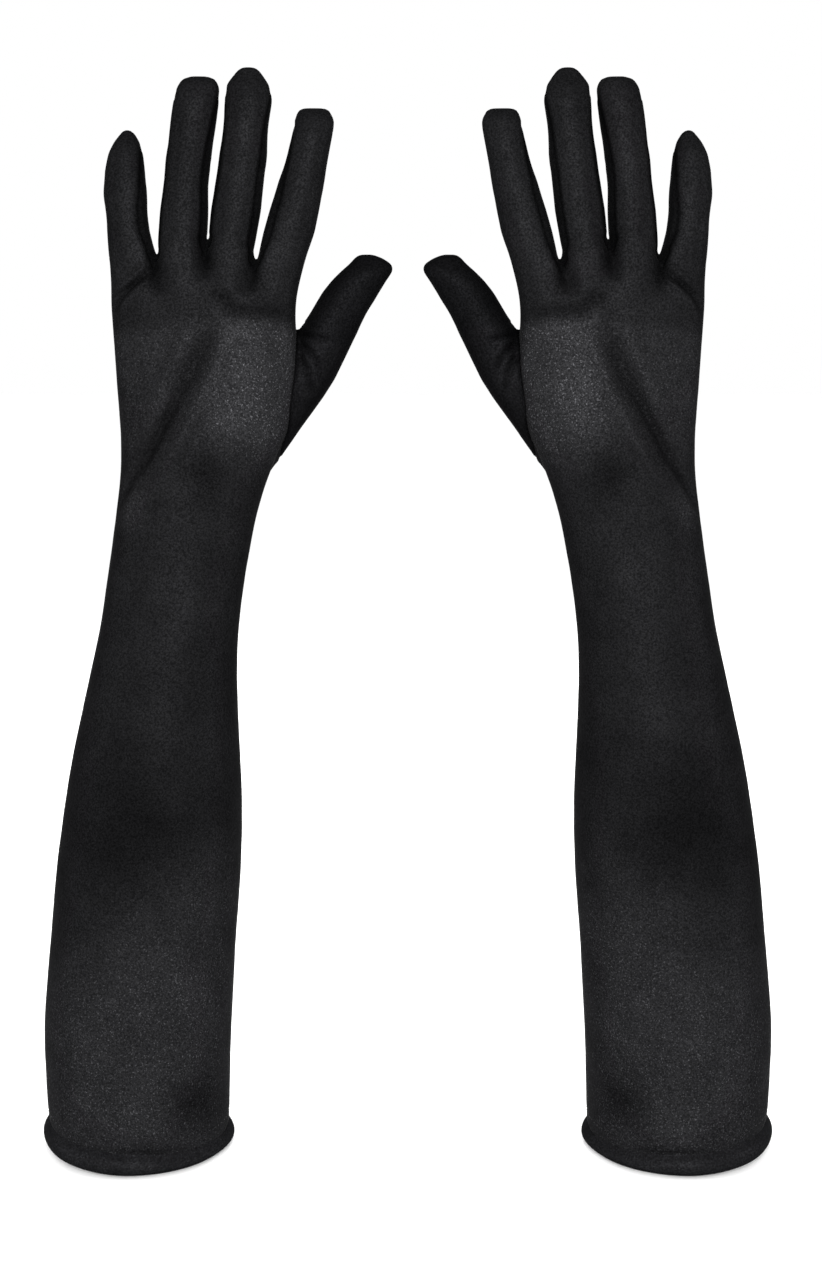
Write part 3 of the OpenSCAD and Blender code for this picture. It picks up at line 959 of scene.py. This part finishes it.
def stretch_and_highlight_of(p):
    """0 on slack cloth to 1 where the hand stretches it most. It is partly satin that looks lighter where
    stretched, and mostly a painted highlight: on the back of the hand below the knuckles, most on the
    thumb's side, over the end of the ulna and on the lower sleeve.
    """
    x, y, z = p.T
    back = smooth_step(-y, -2, 6)
    top = 1 - smooth_step(z + 0.12 * np.abs(x - 50), 362, 369)
    lower = smooth_step(z - 15 * np.exp(-((x - 33) / 13) ** 2), 292, 322)
    radial = smooth_step(x - 0.35 * (z - 330), 26, 46)
    sleeve = 1 - smooth_step(z - 0.7 * x, 62, 150)
    ulnar_head = 0.5 * bump(p[:, ::2], (4, 286), (7, 10)) * back
    return np.clip(back * top * lower * (0.38 + 0.6 * radial) + 0.7 * sleeve + ulnar_head, 0, 1)


# The cloth that is not of the trank's satin, by a word in its name
SLOTS = {"thumb": "thumb_satin", "fourchette": "fourchette_satin", "crotches": "fourchette_satin"}
STRETCH = 1.1  # how much wider the satin is in wear than as cut
LEAST = 10  # the narrowest flat cut, in mm
BASE_BEND, TIP_BEND = 13, 11  # the lengths of cloth given for a digit's base and middle joints
WRIST_BEND = {"lower": "forearm", "upper": "palm", "start": WRIST - 7, "length": HAND_START - WRIST + 7}


def flat_cut(points, polygons, girth=None):
    """Flat width, length and area of the cloth before it was stretched, in metres."""
    area = sum(np.linalg.norm(a, axis=1).sum() / 2 for _, a in face_areas(points, polygons)) / STRETCH
    used = np.unique(np.concatenate([np.array(f) for f in polygons]))
    if girth:
        width = girth / STRETCH
        return width * MM, area / width * MM, area * MM ** 2
    length = max(np.ptp(points[used, 2]), LEAST)
    width = max(area / length, LEAST)
    return width * MM, length * MM, area * MM ** 2


def finish(made, nodes, slot, lower, upper=None, start=0.0, length=0.0, cut=None):
    """What a piece is made of, which frame nodes it hides, and the body it rides on. A piece given two
    bodies is only baked where it stands.
    """
    for side, piece in made.items():
        piece.data.materials.append(MATERIALS[slot])
        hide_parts(*[f"{side}_{node}" for node in nodes])
        if upper is None:
            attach(piece, f"{side}_{lower}")
        else:
            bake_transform(piece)


def tree_of(points):
    """A tree that finds the point nearest to a place."""
    tree = KDTree(len(points))
    for i, point in enumerate(points):
        tree.insert(point, i)
    tree.balance()
    return tree


def motion_of(name):
    """The body that a piece above the wrist rides on, or the two bodies beside its joint, with the joint's
    height and length.
    """
    digit, part = (name.split("_") + [""])[:2]
    if part == "base":
        return {"lower": "palm", "upper": digit, "start": BASE[digit], "length": BASE_BEND}
    if part == "tip":
        return {"lower": digit, "upper": digit + "_end", "start": MIDDLE[digit], "length": TIP_BEND}
    return {"lower": "palm"}


def make_hand():
    """Every cloth piece above the wrist."""
    places, polygons, piece_index, seam_points = cut_hand_skin()
    normals = vertex_normals(places, polygons)
    lift, painted_shade = relief(places, normals, tree_of(seam_points))
    places = places + lift[:, None] * normals
    normals = vertex_normals(places, polygons)
    for index, name in enumerate(HAND_PIECES):
        faces = [f for f, k in zip(polygons, piece_index) if k == index]
        slot = next((s for word, s in SLOTS.items() if word in name), "trank_satin")
        made = cloth_piece(name, places, normals, faces, painted_shade)
        finish(made, [name], slot, cut=flat_cut(places, faces), **motion_of(name))


def make_sleeve():
    """The cloth from the hem to the wrist. Its vertices and normals carry the stitches."""
    points, quads = sleeve_skin()
    normals = vertex_normals(points, quads)
    lift, painted_shade = relief(points, normals)
    crease = np.exp(-((points[:, 2] - SLEEVE_LOW) / 1.6) ** 2)
    points = hem_sway(points + (lift - 0.7 * crease)[:, None] * normals)
    normals = vertex_normals(points, quads)
    made = cloth_piece("sleeve", points, normals, quads, painted_shade)
    finish(made, ["sleeve", "wrist"], "trank_satin", cut=flat_cut(points, quads), **WRIST_BEND)
    return points, normals


def make_hem():
    points, quads = hem_skin()
    made = cloth_piece("hem", points, vertex_normals(points, quads), quads, np.zeros(len(points)))
    girth = 2 * math.pi * float(body.section(height("sleeve"))[2])
    finish(made, ["hem"], "hem_satin", "forearm", cut=flat_cut(points, quads, girth))


make_hand()
sleeve, sleeve_normals = make_sleeve()
make_hem()


# --- Stitches ---

THREAD_SIDES = 6
# Along a stitch, in four steps: how high its middle is above the cloth, and how thick it is
STITCH_FORM = ((-0.12, 0.1), (0.06, 0.2), (0.1, 0.22), (0.06, 0.2), (-0.12, 0.1))
SEAM_STITCH = (3.0, 2.1)  # from one stitch to the next, and a stitch's length
HEM_STITCH = (3.4, 1.6)
HEM_STITCH_HEIGHT = 12.6  # above the floor


def one_stitch(line, out):
    """Vertices and faces of one stitch along the line, half sunk in the cloth."""
    along = (line[-1] - line[0]) / np.linalg.norm(line[-1] - line[0])
    across = np.cross(out, along)
    places = []
    for point, (rise, thick) in zip(line, STITCH_FORM):
        for k in range(THREAD_SIDES):
            turn = 2 * math.pi * k / THREAD_SIDES
            up, aside = rise + thick * math.cos(turn), thick * math.sin(turn)
            places.append(point + out * up + across * aside)
    faces = [q[::-1] for q in ring_quads(len(line), THREAD_SIDES)]
    ends = list(range(THREAD_SIDES)), list(reversed(range(len(places) - THREAD_SIDES, len(places))))
    return places, [*faces, *ends]


def stitches(name, path, outward, spacing, length):
    """Short stitches of thread along a path on the cloth, for both gloves."""
    steps = np.linalg.norm(np.diff(path, axis=0), axis=1)
    travelled = np.concatenate([[0], np.cumsum(steps)])

    def at(distance, values):
        return np.array([np.interp(distance, travelled, column) for column in values.T])

    places, faces = [], []
    for start in np.arange(spacing / 2, travelled[-1] - length, spacing):
        line = np.array([at(start + length * t, path) for t in np.linspace(0, 1, len(STITCH_FORM))])
        out = at(start, outward)
        new_places, new_faces = one_stitch(line, out / np.linalg.norm(out))
        faces += [[len(places) + i for i in f] for f in new_faces]
        places += new_places
    return {side: add_object(f"{side}_{name}_stitches", glove_mesh(name, side, np.array(places), faces))
            for side in MIRROR}


def sleeve_seam_stitches():
    column = slice(SLEEVE_COLUMNS // 2, None, SLEEVE_COLUMNS)
    path, outward = sleeve[column], sleeve_normals[column]
    above_hem = path[:, 2] > SLEEVE_LOW + 4
    made = stitches("sleeve_seam", path[above_hem], outward[above_hem], *SEAM_STITCH)
    finish(made, ["sleeve_seam_thread", "wrist_seam_thread"], "thread", **WRIST_BEND)


def hand_seam_stitches():
    levels = np.arange(HAND_START + 1, height("hand_seam_thread", top=True), 1.5)
    cx, cy, half, _ = body.section(levels)
    path = project(hand_form, np.stack([cx - half, cy, levels], 1), rounds=4)
    outward = gradient(hand_form, path)
    path = path + relief(path, outward)[0][:, None] * outward
    made = stitches("hand_seam", path, outward, *SEAM_STITCH)
    finish(made, ["hand_seam_thread"], "thread", "palm")


def hem_stitches():
    levels = sleeve[::SLEEVE_COLUMNS, 2]
    first = int(np.argmin(np.abs(levels - HEM_STITCH_HEIGHT))) * SLEEVE_COLUMNS
    ring = first + np.arange(SLEEVE_COLUMNS + 1) % SLEEVE_COLUMNS
    made = stitches("hem", sleeve[ring], sleeve_normals[ring], *HEM_STITCH)
    finish(made, ["hem_thread"], "thread", "forearm")


sleeve_seam_stitches()
hand_seam_stitches()
hem_stitches()


# --- Floor, light and camera ---

TARGET = Vector((0, 0, 0.229))  # what the lights and the camera point at
FLOOR_REACH = 40.0
FLOOR_LOW = -0.0003  # just below the hems
# Name, place, size and power of each area light
LIGHTS = [
    ("front", (0, -1.4, 0.75), (0.9, 0.7), 22),
    ("left", (-1.3, -0.3, 0.5), (0.5, 1.2), 4),
    ("right", (1.3, -0.3, 0.5), (0.5, 1.2), 4),
    ("back", (0, 1.25, 1.25), (0.9, 0.6), 18),
    ("back_left", (-1.2, 1.2, 0.7), (0.8, 0.8), 8),
    ("back_right", (1.2, 1.2, 0.7), (0.8, 0.8), 8),
]
FRAME_HEIGHT = 1275  # pixels of the photo
PIXELS_PER_METRE = 2300  # at the target
DISTANCE = 0.8
ELEVATION = math.radians(8)
SENSOR = 36
SHIFT = 0.0024  # the gloves are a little left of the photo's middle


def add_floor():
    mesh = bpy.data.meshes.new("floor")
    corners = [(FLOOR_REACH * x, FLOOR_REACH * y, 0) for x, y in ((-1, -1), (1, -1), (1, 1), (-1, 1))]
    mesh.from_pydata(corners, [], [(0, 1, 2, 3)])
    mesh.materials.append(floor_material())
    floor = add_object("floor", mesh)
    floor.location.z = FLOOR_LOW


def add_white_world():
    world = bpy.data.worlds.new("studio")
    world.use_nodes = True
    set_values(world.node_tree.nodes["Background"], {"Color": (1, 1, 1, 1), "Strength": 1.0})
    bpy.context.scene.world = world
    bpy.context.scene.view_settings.view_transform = "Standard"


def add_light(name, place, size, power):
    data = bpy.data.lights.new(name, "AREA")
    data.shape = "RECTANGLE"
    data.size, data.size_y = size
    data.energy = power
    light = add_object(name, data)
    light.location = place
    light.rotation_euler = (TARGET - Vector(place)).to_track_quat("-Z", "Y").to_euler()


def add_camera():
    data = bpy.data.cameras.new("camera")
    data.sensor_width = SENSOR
    data.lens = SENSOR * PIXELS_PER_METRE * DISTANCE / FRAME_HEIGHT
    data.shift_x = SHIFT
    data.clip_start = 0.01
    camera = add_object("camera", data)
    away = Vector((0, -math.cos(ELEVATION), math.sin(ELEVATION)))
    camera.location = TARGET + DISTANCE * away
    camera.rotation_euler = (-away).to_track_quat("-Z", "Y").to_euler()
    bpy.context.scene.camera = camera


add_floor()
add_white_world()
for light in LIGHTS:
    add_light(*light)
add_camera()
